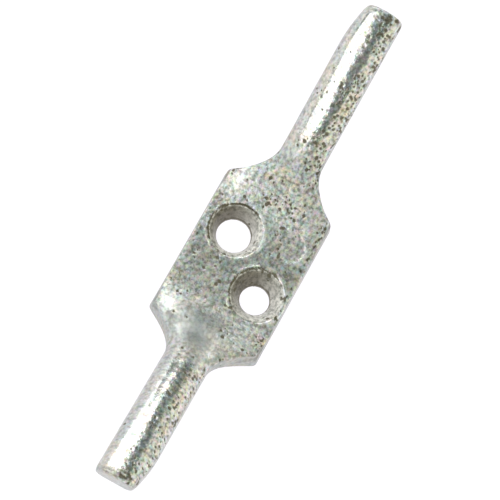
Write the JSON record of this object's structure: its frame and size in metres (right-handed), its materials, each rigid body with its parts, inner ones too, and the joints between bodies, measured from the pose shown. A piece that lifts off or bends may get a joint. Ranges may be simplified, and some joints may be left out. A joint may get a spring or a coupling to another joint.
{
  "type": "horn cleat",
  "caption": "Small one-piece horn cleat: a flat plate with two countersunk screw holes and a rising horn at each end for belaying a line.",
  "frame": {"origin": "centre of the plate's flat underside", "axes": "+X along the horns, +Y across the plate, +Z away from the surface it is screwed to"},
  "size_m": [0.075, 0.017, 0.0182],
  "materials": {
    "galvanised_iron": "hot-dip galvanised zinc, satin, finely pitted"
  },
  "bodies": {
    "root": {"cleat_casting": "galvanised_iron"}
  },
  "joints": []
}
